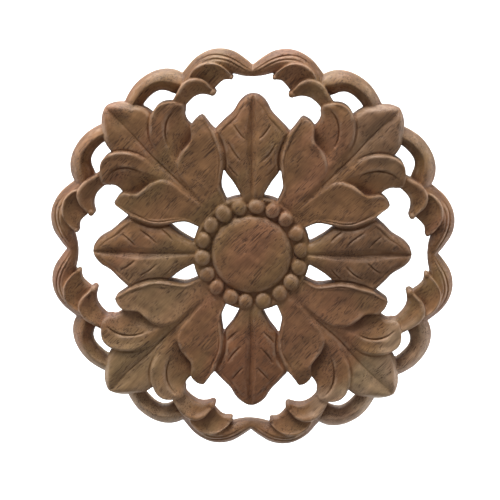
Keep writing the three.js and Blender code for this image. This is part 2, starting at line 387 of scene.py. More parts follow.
OUTER_LOBE = Form(
    "outer_lobe",
    left=(
        (21.6, 29.0), (21.6, 33.5), (21.2, 37.6), (21.0, 41.7), (21.4, 44.7), (22.6, 47.3),
        (24.0, 48.9), (24.7, 50.4), (24.9, 51.8), (24.9, 53.0), (25.0, 54.0), (25.3, 54.9),
    ),
    right=(
        (29.6, 31.3), (32.7, 34.6), (35.0, 38.1), (36.7, 41.9), (37.4, 45.3), (37.3, 48.6),
        (36.5, 51.8), (35.1, 54.1), (33.1, 55.6), (30.8, 56.1), (28.2, 56.0), (26.2, 55.6),
    ),
    rails=(
        Rail(0, (5.6, 5.4, 5.2, 5.4, 5.8, 6.2, 6.4, 6.5, 6.6, 6.6, 6.6, 6.4)),
        Rail(0.05, (6.4, 6.0, 5.8, 6.0, 6.5, 6.9, 7.1, 7.2, 7.3, 7.3, 7.2, 6.8)),
        Rail(0.2, (7.4, 6.6, 6.1, 6.5, 7.1, 7.4, 7.6, 7.8, 7.9, 8.0, 7.9, 7.4)),
        Rail(0.4, (8.6, 7.8, 7.4, 7.7, 8.0, 8.2, 8.4, 8.6, 8.7, 8.8, 8.6, 8.0)),
        Rail(0.5, (9.0, 8.5, 8.2, 8.4, 8.5, 8.6, 8.7, 9.1, 9.1, 9.1, 8.8, 8.2)),
        Rail(0.6, (9.1, 9.0, 8.8, 8.7, 8.7, 8.9, 9.3, 9.3, 9.2, 9.1, 8.8, 8.2)),
        Rail(0.66, (9.1, 9.2, 9.3, 9.3, 9.3, 9.4, 9.4, 9.3, 9.2, 9.1, 8.8, 8.2)),
        Rail(0.8, (8.9, 9.1, 9.3, 9.3, 9.3, 9.3, 9.3, 9.2, 9.1, 9.0, 8.7, 8.1)),
        Rail(0.9, (8.7, 8.8, 9.2, 9.6, 9.7, 9.7, 9.6, 9.5, 9.4, 9.2, 8.8, 8.0)),
        Rail(0.95, (8.5, 8.6, 9.0, 9.6, 9.9, 9.9, 9.8, 9.7, 9.5, 9.2, 8.7, 7.9)),
        Rail(1, (8.2, 8.2, 8.6, 9.1, 9.3, 9.3, 9.2, 9.0, 8.7, 8.3, 7.8, 7.2)),
    ),
)

NEAR_CURL = Form(
    "near_curl",
    left=(
        (24.6, 52.1), (24.6, 54.2), (23.5, 55.6), (22.1, 56.9), (20.5, 57.9), (18.6, 58.4),
        (17.3, 58.4), (16.3, 58.2), (15.5, 58.0), (14.8, 58.0), (14.2, 58.3),
    ),
    right=(
        (30.5, 54.3), (28.9, 57.1), (27.5, 59.6), (26.1, 61.8), (24.0, 63.6), (21.2, 64.6),
        (18.8, 64.1), (17.0, 63.0), (15.9, 61.8), (15.0, 60.9), (14.2, 60.0),
    ),
    rails=(
        Rail(0, (5.8, 5.6, 5.6, 5.6, 5.6, 5.6, 5.4)),
        Rail(0.05, (6.6, 6.4, 6.3, 6.3, 6.3, 6.2, 5.8)),
        Rail(0.2, (6.9, 6.7, 6.5, 6.4, 6.4, 6.3, 6.0)),
        Rail(0.45, (7.2, 7.1, 6.9, 6.8, 6.8, 6.6, 6.2)),
        Rail(0.62, (7.4, 7.6, 7.6, 7.5, 7.4, 7.0, 6.4)),
        Rail(0.7, (7.5, 8.0, 8.1, 8.1, 7.9, 7.3, 6.5)),
        Rail(0.82, (7.6, 8.3, 8.5, 8.5, 8.2, 7.6, 6.6)),
        Rail(0.93, (7.5, 8.2, 8.4, 8.4, 8.1, 7.4, 6.5)),
        Rail(1, (7.0, 7.6, 7.7, 7.7, 7.3, 6.7, 6.1)),
    ),
)

FAR_CURL = Form(
    "far_curl",
    left=(
        (19.4, 59.2), (17.1, 59.6), (15.3, 59.9), (13.9, 60.5), (13.0, 61.6), (11.9, 62.8),
        (10.6, 63.8), (9.7, 64.0), (9.0, 64.1), (8.3, 64.1), (7.7, 64.3),
    ),
    right=(
        (23.4, 64.0), (22.5, 66.3), (21.2, 68.0), (19.2, 69.4), (16.6, 70.2), (14.0, 70.1),
        (11.7, 69.2), (10.0, 68.0), (8.8, 67.0), (8.1, 66.2), (7.6, 65.5),
    ),
    rails=(
        Rail(0, (4.6, 4.6, 4.8, 5.0, 5.0, 5.0, 4.9)),
        Rail(0.06, (5.0, 5.0, 5.2, 5.4, 5.5, 5.5, 5.2)),
        Rail(0.25, (4.9, 4.9, 5.2, 5.5, 5.7, 5.7, 5.4)),
        Rail(0.5, (5.2, 5.2, 5.6, 5.9, 6.1, 6.0, 5.6)),
        Rail(0.8, (6.2, 6.2, 6.5, 6.7, 6.7, 6.4, 5.7)),
        Rail(0.88, (6.6, 6.7, 6.9, 7.0, 6.9, 6.5, 5.7)),
        Rail(0.92, (7.1, 7.3, 7.5, 7.5, 7.3, 6.8, 5.8)),
        Rail(0.97, (7.0, 7.2, 7.4, 7.4, 7.2, 6.6, 5.7)),
        Rail(1, (6.6, 6.7, 6.8, 6.8, 6.5, 6.0, 5.3)),
    ),
)

AXIS_SCROLL = Form(
    "axis_scroll",
    left=(
        (-0.3, 69.0), (3.3, 71.8), (7.1, 74.1), (11.2, 75.0), (15.3, 74.6), (19.0, 73.0),
        (22.0, 70.7), (24.2, 68.1), (25.9, 65.7), (26.8, 62.9),
    ),
    right=(
        (-0.3, 65.0), (3.7, 65.4), (6.7, 66.1), (9.7, 66.3), (12.7, 65.9), (15.6, 64.8),
        (17.9, 63.3), (20.1, 61.8), (22.3, 60.3), (24.6, 58.8),
    ),
    rails=(
        Rail(0, (1.9, 2.0, 2.0, 2.0, 2.0)),
        Rail(0.05, (2.5, 2.9, 3.0, 3.0, 2.9)),
        Rail(0.12, (3.1, 3.7, 3.8, 3.8, 3.7)),
        Rail(0.2, (3.6, 4.4, 4.5, 4.5, 4.4)),
        Rail(0.3, (4.2, 5.2, 5.3, 5.3, 5.1)),
        Rail(0.4, (4.7, 5.9, 6.0, 5.9, 5.7)),
        Rail(0.5, (4.9, 6.3, 6.4, 6.3, 6.1)),
        Rail(0.62, (4.8, 6.1, 6.2, 6.2, 6.0)),
        Rail(0.75, (4.5, 5.6, 5.6, 5.7, 5.7)),
        Rail(0.88, (4.1, 4.9, 4.9, 5.0, 5.0)),
        Rail(1, (3.0, 3.4, 3.8, 4.0, 4.0)),
    ),
)

LEAF_SCROLL = Form(
    "leaf_scroll",
    left=(
        (23.4, 63.5), (25.9, 66.0), (28.7, 67.2), (32.0, 67.5), (35.6, 66.8), (39.3, 65.0),
        (42.8, 62.2), (45.4, 58.7), (47.1, 55.2), (47.7, 52.1),
    ),
    right=(
        (24.6, 56.6), (26.4, 58.6), (28.8, 58.5), (31.5, 59.5), (34.0, 59.6), (36.2, 58.6),
        (38.3, 56.8), (40.0, 54.7), (41.0, 52.6), (41.5, 49.9),
    ),
    rails=(
        Rail(0, (2.0, 2.0, 2.0, 2.0, 2.0)),
        Rail(0.05, (3.1, 3.1, 3.1, 3.1, 3.1)),
        Rail(0.13, (4.2, 4.3, 4.3, 4.3, 4.2)),
        Rail(0.26, (5.3, 5.4, 5.4, 5.4, 5.3)),
        Rail(0.4, (6.0, 6.2, 6.2, 6.2, 6.0)),
        Rail(0.52, (6.3, 6.6, 6.6, 6.6, 6.4)),
        Rail(0.58, (6.1, 6.5, 6.5, 6.5, 6.2)),
        Rail(0.64, (5.3, 5.5, 5.5, 5.5, 5.3)),
        Rail(0.78, (4.4, 4.6, 4.6, 4.6, 4.4)),
        Rail(0.92, (3.5, 3.6, 3.6, 3.6, 3.5)),
        Rail(1, (2.4, 2.4, 2.4, 2.4, 2.4)),
    ),
)


@dataclass(frozen=True)
class CutLine:
    """A fine line cut into the face with the corner of a tool.

    Attributes:
        points: Its course in the wedge beside the upright axis.
        width: Millimetres from lip to lip.
        depth: Millimetres at its deepest.
        steps: Places along its course that the cut is worked out from.
    """

    points: tuple[Point, ...]
    width: float
    depth: float
    steps: int = 24

    def depth_at(self, plan: np.ndarray) -> np.ndarray:
        """Works out how deep the line cuts.

        Args:
            plan: Rows of x and y, folded into the wedge.

        Returns:
            The depth in millimetres at each row.
        """
        course = smooth_line(self.points, np.linspace(0, 1, self.steps))
        reach = self.width / 2
        low, high = course.min(axis=0) - reach, course.max(axis=0) + reach
        near = np.flatnonzero(np.all((plan > low) & (plan < high), axis=1))
        cut = np.zeros(len(plan))
        for index, (start, end) in enumerate(zip(course[:-1], course[1:])):
            stretch = end - start
            share = np.clip((plan[near] - start) @ stretch / (stretch @ stretch), 0, 1)
            gap = np.linalg.norm(plan[near] - start - share[:, None] * stretch, axis=1)
            along = (index + share) / (self.steps - 1)
            taper = np.sin(math.pi * np.clip(along, 0, 1)) ** 0.5
            groove = np.cos(np.clip(gap / reach, 0, 1) * math.pi / 2) ** 2
            cut[near] = np.maximum(cut[near], self.depth * taper * groove)
        return cut


CUT_LINES = (
    # side veins of the axis leaves
    CutLine(((6.9, 48.0), (5.0, 45.4), (2.8, 43.0)), 0.9, 0.75),
    CutLine(((8.8, 41.4), (6.5, 37.8), (3.8, 34.8)), 0.9, 0.75),
    CutLine(((9.0, 33.4), (6.9, 31.0), (4.9, 29.2)), 0.9, 0.7),
    # inside the bevel of the axis leaves
    CutLine(((11.6, 44.6), (9.4, 47.3), (6.1, 50.8), (3.8, 54.2), (1.4, 56.5)), 0.9, 0.3),
    # where the lobes lie over the axis leaves
    CutLine(((10.9, 25.0), (10.1, 29.4), (9.5, 33.6), (9.9, 37.9), (11.2, 41.6), (12.8, 44.9)),
            1.1, 0.9),
    # midline of the axis leaves
    CutLine(((0, 23), (0, 33), (0, 43), (0, 53)), 1.0, 0.3),
    # midline of the acanthus leaves
    CutLine(((23.0, 23.0), (31.0, 31.0), (41.0, 41.0), (50.5, 50.5)), 0.9, 0.4),
    # crease of the outer lobes
    CutLine(((28.2, 53.8), (30.4, 50.8), (31.4, 47.9), (31.6, 45.0), (31.1, 42.3), (30.2, 39.8)),
            1.0, 1.0),
    # under the rim of the outer lobes
    CutLine(((35.6, 38.5), (37.2, 41.7), (38.0, 45.2), (37.9, 48.8), (37.0, 52.2)), 1.1, 0.5),
    # inside the rim of the inner lobes
    CutLine(((12.9, 24.6), (12.3, 29.6), (11.8, 33.6), (12.2, 37.4), (13.6, 41.0), (15.4, 44.4)),
            0.9, 0.5),
    # lines that run along the axis scrolls
    CutLine(((0.3, 67.4), (3.2, 69.0), (6.2, 70.9), (9.2, 72.2), (12.6, 72.9), (15.8, 72.6),
             (18.6, 71.3), (21.0, 69.3)), 0.9, 0.6),
    CutLine(((2.2, 67.3), (5.2, 69.0), (8.2, 70.5), (11.6, 71.4), (15.0, 71.3), (18.0, 70.2)),
            0.9, 0.55),
    # crest of the leaf scrolls
    CutLine(((26.2, 61.7), (28.8, 62.2), (31.7, 62.9), (34.7, 62.6), (37.5, 61.3), (40.2, 59.1),
             (42.3, 56.4), (43.6, 53.7)), 0.9, 0.35),
)


@dataclass(frozen=True)
class Turning:
    """A round solid, such as a lathe makes. Sizes are millimetres.

    Attributes:
        radius: Of its foot.
        height: Of its straight wall.
        profile: From the wall's top to the middle: radius, then height.
        sides: Corners round it.
    """

    radius: float
    height: float
    profile: tuple[Point, ...]
    sides: int

    def build(self) -> bpy.types.Object:
        """Models it: a cylinder whose top is inset and raised ring by ring.

        Returns:
            The closed solid, standing on the back at the pattern's centre.
        """
        bpy.ops.object.select_all(action="DESELECT")
        bpy.ops.mesh.primitive_cylinder_add(
            vertices=self.sides, radius=self.radius * MM, depth=self.height * MM,
            location=(0, 0, 0),
        )
        solid = bpy.context.object
        solid.data.transform(Matrix.Translation((0, 0, self.height * MM / 2)))
        bpy.ops.object.mode_set(mode="EDIT")
        bpy.ops.mesh.select_mode(type="FACE")
        bpy.ops.mesh.select_all(action="DESELECT")
        bpy.ops.object.mode_set(mode="OBJECT")
        for face in solid.data.polygons:
            face.select = face.normal.z > FACING_UP
        bpy.ops.object.mode_set(mode="EDIT")
        radius, height = self.radius, self.height
        for next_radius, next_height in self.profile:
            bpy.ops.mesh.inset(thickness=(radius - next_radius) * MM)
            bpy.ops.transform.translate(value=(0, 0, (next_height - height) * MM))
            radius, height = next_radius, next_height
        bpy.ops.object.mode_set(mode="OBJECT")
        return solid


@dataclass
class Hub:
    """The drum at the centre, its ring of beads and its button. Sizes are millimetres.

    Attributes:
        drum: The drum, with the channel for the beads and the button in one profile.
        bead: One bead.
        bead_ring: Radius of the ring that the beads' middles stand on.
        bead_count: Beads in the ring.
        first_bead_turn: Turn of the first bead from the upright axis, in radians.
        bead_variation: How far the beads differ in size, and in place as a share of a step.
        seed: Where the differences come from.
    """

    drum: Turning = Turning(
        radius=21.8, height=6.6, sides=144,
        profile=(
            (21.6, 7.4), (21.2, 7.9), (20.8, 8.05), (20.2, 7.9), (19.6, 7.4), (15.3, 7.1),
            (14.9, 7.2), (14.6, 8.0), (14.2, 8.65), (13.6, 9.12), (12.8, 9.48), (11.7, 9.78),
            (10.0, 10.0), (7.0, 10.14), (3.5, 10.2), (1.0, 10.24),
        ),
    )
    bead: Turning = Turning(
        radius=3.02, height=7.5, sides=40,
        profile=(
            (2.98, 8.1), (2.84, 8.65), (2.58, 9.15), (2.2, 9.54), (1.7, 9.82), (1.1, 10.0),
            (0.5, 10.08), (0.15, 10.1),
        ),
    )
    bead_ring: float = 18.15
    bead_count: int = 18
    first_bead_turn: float = -math.pi / 36
    bead_variation: float = 0.035
    seed: int = 3

    def build(self) -> list[bpy.types.Object]:
        """Models the drum with its button, and the beads.

        Returns:
            The closed solids, in the pattern's own plane.
        """
        bead = self.bead.build()
        out = Matrix.Translation((0, self.bead_ring * MM, 0))
        step = 2 * math.pi / self.bead_count
        chance = np.random.default_rng(self.seed)
        beads = []
        for index in range(self.bead_count):
            wide, deep, high, nudge = chance.normal(0, self.bead_variation, 4)
            shape = Matrix.Diagonal((1 + wide, 1 + deep, 1 - abs(high), 1))
            turn = self.first_bead_turn + step * (index + nudge)
            beads.append(placed_copy(bead, Matrix.Rotation(turn, 4, "Z") @ out @ shape))
        bpy.data.objects.remove(bead)
        return [self.drum.build(), *beads]


@dataclass(frozen=True)
class Bud:
    """The small round knob that ends a curl. Sizes are millimetres.

    Attributes:
        place: Its middle on the pattern.
        radius: Of the knob.
        top: Height of its crown above the back.
        waist: How far below its middle the foot starts, in radii.
        flare: How many times wider the foot is than the knob is there.
    """

    place: Point
    radius: float
    top: float
    waist: float = 0.1
    flare: float = 1.1

    def build(self) -> bpy.types.Object:
        """Models one bud beside the upright axis: a ball whose underside is drawn down.

        Returns:
            The closed solid, standing on the back.
        """
        bpy.ops.object.select_all(action="DESELECT")
        bpy.ops.mesh.primitive_uv_sphere_add(segments=24, ring_count=16, radius=self.radius * MM,
                                             location=(0, 0, 0))
        bud = bpy.context.object
        bpy.ops.object.mode_set(mode="EDIT")
        bpy.ops.mesh.select_all(action="DESELECT")
        bpy.ops.object.mode_set(mode="OBJECT")
        for corner in bud.data.vertices:
            corner.select = corner.co.z < -self.radius * MM * self.waist
        bpy.ops.object.mode_set(mode="EDIT")
        bpy.ops.mesh.select_mode(type="VERT")
        bpy.ops.transform.resize(value=(self.flare, self.flare, 0), center_override=(0, 0, 0))
        bpy.ops.transform.translate(value=(0, 0, (self.radius - self.top) * MM))
        bpy.ops.object.mode_set(mode="OBJECT")
        x, y = self.place
        bud.data.transform(Matrix.Translation(Vector((x, y, self.top - self.radius)) * MM))
        return bud


BUDS = (Bud((14.5, 59.0), 1.2, 7.5), Bud((7.9, 64.9), 0.85, 6.4))


# Finishes


class Blend(Enum):
    """How one colour is laid over another."""

    COVER = "MIX"
    SHADE = "OVERLAY"


class Signal:
    """A shader socket that Python's arithmetic works on, by adding Math nodes."""

    def __init__(self, sheet: "ShaderSheet", socket: bpy.types.NodeSocket) -> None:
        """Keeps the socket and the sheet that its nodes are added to."""
        self.sheet = sheet
        self.socket = socket

    def math(self, operation: str, *values: "Signal | float") -> "Signal":
        """Adds a Math node.

        Args:
            operation: What the node does.
            *values: Its inputs.

        Returns:
            Its result.
        """
        return self.sheet.add("ShaderNodeMath", {"operation": operation}, dict(enumerate(values)))

    def __add__(self, other: "Signal | float") -> "Signal":
        """Adds."""
        return self.math("ADD", self, other)

    __radd__ = __add__

    def __sub__(self, other: "Signal | float") -> "Signal":
        """Takes the other away."""
        return self.math("SUBTRACT", self, other)

    def __rsub__(self, other: float) -> "Signal":
        """Is taken away from the other."""
        return self.math("SUBTRACT", other, self)

    def __mul__(self, other: "Signal | float") -> "Signal":
        """Multiplies."""
        return self.math("MULTIPLY", self, other)

    __rmul__ = __mul__

    def larger(self, other: "Signal | float") -> "Signal":
        """Gives the larger of the two."""
        return self.math("MAXIMUM", self, other)

    def rising(self, low: float, high: float) -> "Signal":
        """Goes smoothly from 0 at the low value to 1 at the high one.

        Args:
            low: Where it starts to rise.
            high: Where it is full.

        Returns:
            The eased signal.
        """
        return self.sheet.add(
            "ShaderNodeMapRange", {"interpolation_type": "SMOOTHSTEP"},
            {"Value": self, "From Min": low, "From Max": high},
        )

    def falling(self, low: float, high: float) -> "Signal":
        """Goes smoothly from 1 at the low value to 0 at the high one."""
        return 1 - self.rising(low, high)


class ShaderSheet:
    """A material's node tree, with one method that adds any node."""

    def __init__(self, name: str) -> None:
        """Starts a material with only its shader and output.

        Args:
            name: What the material is called.
        """
        self.material = bpy.data.materials.new(name)
        self.material.use_nodes = True
        self.tree = self.material.node_tree
        self.shader = self.tree.nodes["Principled BSDF"]

    def add(self, kind: str, settings: dict[str, object] | None = None,
            inputs: dict[str | int, object] | None = None, output: str | int = 0) -> Signal:
        """Adds a node.

        Args:
            kind: The node's type.
            settings: Its own properties, set first.
            inputs: A value or a Signal for each socket named.
            output: Which of its outputs to hand back.

        Returns:
            That output.
        """
        node = self.tree.nodes.new(kind)
        for name, value in (settings or {}).items():
            setattr(node, name, value)
        for name, value in (inputs or {}).items():
            self._feed(node.inputs[name], value)
        return Signal(self, node.outputs[output])

    def _feed(self, socket: bpy.types.NodeSocket, value: object) -> None:
        """Links a Signal to a socket, or sets the socket to a plain value.

        Args:
            socket: Where the value goes.
            value: What it is.
        """
        if isinstance(value, Signal):
            self.tree.links.new(value.socket, socket)
        else:
            socket.default_value = value

    def blend(self, share: Signal | float, base: Signal | Colour, top: Signal | Colour,
              way: Blend = Blend.COVER) -> Signal:
        """Mixes two colours.

        Args:
            share: How much of the top colour shows.
            base: The colour below.
            top: The colour above.
            way: How they are mixed.

        Returns:
            The mixed colour.
        """
        opaque = [(*c, 1.0) if isinstance(c, tuple) else c for c in (base, top)]
        return self.add(
            "ShaderNodeMix", {"data_type": "RGBA", "blend_type": way.value},
            {0: share, 6: opaque[0], 7: opaque[1]}, output=2,
        )

    def finish(self, **sockets: object) -> bpy.types.Material:
        """Feeds the shader.

        Args:
            **sockets: A value or Signal for each shader socket, with _ for a space.

        Returns:
            The finished material.
        """
        for name, value in sockets.items():
            self._feed(self.shader.inputs[name.replace("_", " ")], value)
        return self.material


def linear(red: int, green: int, blue: int) -> Colour:
    """Turns a colour as a screen shows it, 0 to 255, into the light it stands for."""
    shares = (value / 255 for value in (red, green, blue))
    return tuple(s / 12.92 if s <= 0.04045 else ((s + 0.055) / 1.055) ** 2.4 for s in shares)


@dataclass(frozen=True)
class Figure:
    """One kind of mark in the wood, drawn out along the grain.

    Attributes:
        along: Its length in millimetres.
        across: Its width in millimetres.
        detail: Finer layers on top of it.
        shade: How much it lightens and darkens the wood.
        relief: How much it lifts the surface.
    """

    along: float
    across: float
    detail: float
    shade: float = 0.0
    relief: float = 0.0


@dataclass(frozen=True)
class ToneBlock:
    """A block of the glued panel with a tone of its own.

    Attributes:
        centre: Its middle on the face, in millimetres, x then z.
        reach: Millimetres over which it fades.
        colour: Its tone.
        strength: How much of it shows.
    """

    centre: Point
    reach: float
    colour: Colour
    strength: float


@dataclass(frozen=True)
class BareWood:
    """Sanded, unfinished hardwood with open pores. Lengths are millimetres.

    Attributes:
        name: What the material is called.
        olive: The greenest tone of the bare wood.
        brown: Its middle tone.
        rose: Its reddest tone.
        pore: The dark inside an open pore.
        deep: The dark tone laid into hollows as painted shade.
        wear_and_highlight: The paler tone of rubbed edges, partly a painted highlight.
        grain_turn: Slope of the grain on the face, in radians.
        grain_dip: How far the grain runs into the panel, in radians.
        sway: How far the grain wanders from straight.
        sway_scale: How often it wanders, in waves to a metre.
        drift: The slow change of tone from olive to rose.
        fibre: The fine lines of the grain.
        streaks: The broad lines of the grain.
        patches: Soft patches of tone, and the hollows that sanding leaves.
        facets: Small flats left by the tools.
        long_pores: Pores cut along their length.
        short_pores: Pores cut nearly across.
        crowds: Where the long pores are close together.
        scatter: Where the short pores are.
        to_brown: Drift values between which olive turns to brown.
        to_rose: Drift values between which brown turns to rose.
        in_pore: Values below which a pore opens, fully and just.
        in_crowd: Values between which long pores come in.
        in_scatter: Values between which short pores come in.
        in_wear_and_highlight: Values between which an edge takes the pale tone of wear and painted
            highlight.
        shading: How much the fibre, streaks and patches show.
        short_pore_share: How strong a short pore is beside a long one.
        pore_share: How much of the pore's tone shows.
        hollow_shade_share: How much of the painted shade shows in the lowest hollows.
        wear_and_highlight_share: How much of the pale tone of wear and painted highlight shows on
            the sharpest edges.
        roughness: Of the surface between its marks.
        fibre_roughness: How much the fibre changes it.
        pore_roughness: How much a pore adds to it.
        pore_relief: How much a pore lowers the surface.
        bump_height: Height that a relief of 1 stands for.
        bump_strength: How much of the relief shows.
        specular: How much light the surface mirrors.
        sheen: How much light its nap catches at a low angle.
        sheen_roughness: How soft that light is.
        ragged: How far the edges of the tone blocks wander.
        ragged_scale: How often they wander, in waves to a millimetre.
        core: Share of a tone block's reach that has its full tone.
        blocks: The blocks that the panel is glued up from, where their tone shows; two pale ones
            are partly painted light from below.
    """

    name: str = "bare_wood"
    olive: Colour = linear(143, 108, 68)
    brown: Colour = linear(147, 105, 67)
    rose: Colour = linear(150, 102, 69)
    pore: Colour = linear(66, 38, 20)
    # painted shade: the dark tone laid into hollows
    deep: Colour = linear(92, 50, 26)
    # pale edge tone: partly wear, partly painted highlight
    wear_and_highlight: Colour = linear(184, 152, 126)
    grain_turn: float = math.radians(46)
    grain_dip: float = math.radians(3)
    sway: float = 5.0
    sway_scale: float = 28.0
    drift: Figure = Figure(60, 16, 2.0)
    fibre: Figure = Figure(7, 0.36, 2.0, shade=0.5, relief=0.4)
    streaks: Figure = Figure(30, 2.6, 3.0, shade=0.4)
    patches: Figure = Figure(7, 4, 3.0, shade=0.45, relief=1.2)
    facets: Figure = Figure(2.6, 1.5, 1.0, relief=0.7)
    long_pores: Figure = Figure(9, 0.3, 0.0)
    short_pores: Figure = Figure(2.6, 0.3, 0.0)
    crowds: Figure = Figure(12, 6, 2.0)
    scatter: Figure = Figure(6, 6, 1.0)
    to_brown: Point = (0.35, 0.5)
    to_rose: Point = (0.5, 0.66)
    in_pore: Point = (0.35, 0.39)
    in_crowd: Point = (0.46, 0.58)
    in_scatter: Point = (0.36, 0.6)
    in_wear_and_highlight: Point = (0.36, 0.6)
    shading: float = 0.8
    short_pore_share: float = 0.75
    pore_share: float = 0.75
    hollow_shade_share: float = 0.62
    wear_and_highlight_share: float = 0.46
    roughness: float = 0.56
    fibre_roughness: float = 0.16
    pore_roughness: float = 0.1
    pore_relief: float = 0.8
    bump_height: float = 0.16
    bump_strength: float = 0.8
    specular: float = 0.5
    sheen: float = 0.08
    sheen_roughness: float = 0.4
    ragged: float = 14.0
    ragged_scale: float = 0.09
    core: float = 0.55
    blocks: tuple[ToneBlock, ...] = (
        ToneBlock((44, -50), 13, linear(174, 154, 120), 0.5),
        # partly painted light: these two pale blocks by the lower right scroll also stand for light
        # from below
        ToneBlock((58, -38), 15, linear(186, 156, 128), 0.5),
        ToneBlock((34, -61), 15, linear(188, 158, 130), 0.5),
        ToneBlock((50, 48), 22, linear(136, 108, 80), 0.6),
        ToneBlock((-48, -46), 22, linear(166, 138, 100), 0.5),
        ToneBlock((-36, -62), 15, linear(182, 150, 118), 0.5),
        ToneBlock((-36, -14), 20, linear(162, 130, 96), 0.45),
        ToneBlock((42, -2), 22, linear(126, 89, 60), 0.8),
        ToneBlock((26, -26), 20, linear(138, 90, 62), 0.6),
        ToneBlock((0, -44), 22, linear(138, 88, 56), 0.8),
    )

    def material(self) -> bpy.types.Material:
        """Builds the wood: tone blocks, fibre, pores, painted shade in hollows and paler edges of
        wear and painted highlight.

        Returns:
            The finished material.
        """
        sheet = ShaderSheet(self.name)
        place = sheet.add("ShaderNodeTexCoord", output="Object")
        grain = sheet.add(
            "ShaderNodeMapping", inputs={
                "Vector": self._wandering(sheet, place),
                "Rotation": (self.grain_dip, self.grain_turn, self.grain_dip),
                "Scale": (1 / MM,) * 3,
            },
        )
        fibre, streaks, patches, facets = (
            self._noise(sheet, grain, figure)
            for figure in (self.fibre, self.streaks, self.patches, self.facets)
        )
        pores = self._pores(sheet, grain)
        shade = (
            0.5 + (fibre - 0.5) * self.fibre.shade + (streaks - 0.5) * self.streaks.shade
            + (patches - 0.5) * self.patches.shade
        )
        colour = self._tones(sheet, place, grain)
        colour = sheet.blend(self.shading, colour, self._grey(sheet, shade), Blend.SHADE)
        colour = sheet.blend(pores * self.pore_share, colour, self.pore)
        # painted shade: hollows are darkened towards the deep tone
        hollow_shade = self._stored(sheet, "hollow_shade") * self.hollow_shade_share
        colour = sheet.blend(hollow_shade, colour, self.deep)
        # partly painted highlight: raised edges are paled as if rubbed and catching the light
        wear_and_highlight_mask = self._stored(sheet, "edge") * patches.rising(*self.in_wear_and_highlight) * self.wear_and_highlight_share
        colour = sheet.blend(wear_and_highlight_mask, colour, self.wear_and_highlight)
        height = (
            fibre * self.fibre.relief + patches * self.patches.relief
            + facets * self.facets.relief - pores * self.pore_relief
        )
        relief = sheet.add(
            "ShaderNodeBump", inputs={
                "Strength": self.bump_strength, "Distance": self.bump_height * MM, "Height": height,
            },
        )
        matt = self.roughness + (fibre - 0.5) * self.fibre_roughness + pores * self.pore_roughness
        return sheet.finish(
            Base_Color=colour, Roughness=matt, Specular_IOR_Level=self.specular,
            Sheen_Weight=self.sheen, Sheen_Roughness=self.sheen_roughness, Normal=relief,
        )

    def _wandering(self, sheet: ShaderSheet, place: Signal) -> Signal:
        """Shifts places gently, so that the grain isn't ruled straight.

        Args:
            sheet: The material's nodes.
            place: Where on the piece, in metres.

        Returns:
            The shifted places.
        """
        sway = sheet.add(
            "ShaderNodeTexNoise", inputs={"Vector": place, "Scale": self.sway_scale},
            output="Color",
        )
        return sheet.add(
            "ShaderNodeVectorMath", {"operation": "MULTIPLY_ADD"},
            {0: sway, 1: (self.sway * MM,) * 3, 2: place},
        )

    def _tones(self, sheet: ShaderSheet, place: Signal, grain: Signal) -> Signal:
        """Lays the broad tones: drifting hue, then each glued block's own tone.

        Args:
            sheet: The material's nodes.
            place: Where on the piece, in metres.
            grain: Millimetres along the grain, into the panel, and across.

        Returns:
            The colour.
        """
        drift = self._noise(sheet, grain, self.drift)
        colour = sheet.blend(drift.rising(*self.to_brown), self.olive, self.brown)
        colour = sheet.blend(drift.rising(*self.to_rose), colour, self.rose)
        wander = sheet.add(
            "ShaderNodeTexNoise", inputs={"Vector": grain, "Scale": self.ragged_scale},
            output="Color",
        )
        ragged = sheet.add(
            "ShaderNodeVectorMath", {"operation": "MULTIPLY_ADD"},
            {0: wander, 1: (self.ragged * MM,) * 3, 2: place},
        )
        shift = self.ragged / 2
        for block in self.blocks:
            x, z = block.centre
            away = sheet.add(
                "ShaderNodeVectorMath", {"operation": "DISTANCE"},
                {0: ragged, 1: ((x + shift) * MM, 0, (z + shift) * MM)}, output="Value",
            )
            share = away.falling(block.reach * self.core * MM, block.reach * MM) * block.strength
            colour = sheet.blend(share, colour, block.colour)
        return colour

    def _pores(self, sheet: ShaderSheet, grain: Signal) -> Signal:
        """Opens the pores: long ones in crowds, and short ones scattered between.

        Args:
            sheet: The material's nodes.
            grain: Millimetres along the grain, into the panel, and across.

        Returns:
            1 inside a pore and 0 between them.
        """
        crowds = self._noise(sheet, grain, self.crowds).rising(*self.in_crowd)
        scatter = self._noise(sheet, grain, self.scatter).rising(*self.in_scatter)
        long_pores = self._noise(sheet, grain, self.long_pores).falling(*self.in_pore)
        short_pores = self._noise(sheet, grain, self.short_pores).falling(*self.in_pore)
        return (long_pores * crowds).larger(short_pores * scatter * self.short_pore_share)

    def _noise(self, sheet: ShaderSheet, grain: Signal, figure: Figure) -> Signal:
        """Adds noise stretched along the grain.

        Args:
            sheet: The material's nodes.
            grain: Millimetres along the grain, into the panel, and across.
            figure: The marks to make.

        Returns:
            Values about a half.
        """
        sizes = (1 / figure.along, 1 / figure.across, 1 / figure.across)
        stretched = sheet.add(
            "ShaderNodeVectorMath", {"operation": "MULTIPLY"}, {0: grain, 1: sizes},
        )
        return sheet.add(
            "ShaderNodeTexNoise", inputs={
                "Vector": stretched, "Scale": 1.0, "Detail": figure.detail,
            },
        )

    def _stored(self, sheet: ShaderSheet, name: str) -> Signal:
        """Reads a value that is stored on the mesh."""
        return sheet.add("ShaderNodeAttribute", {"attribute_name": name}, output="Fac")

    def _grey(self, sheet: ShaderSheet, value: Signal) -> Signal:
        """Makes a grey of a value."""
        return sheet.add("ShaderNodeCombineColor", inputs={0: value, 1: value, 2: value})


# The piece


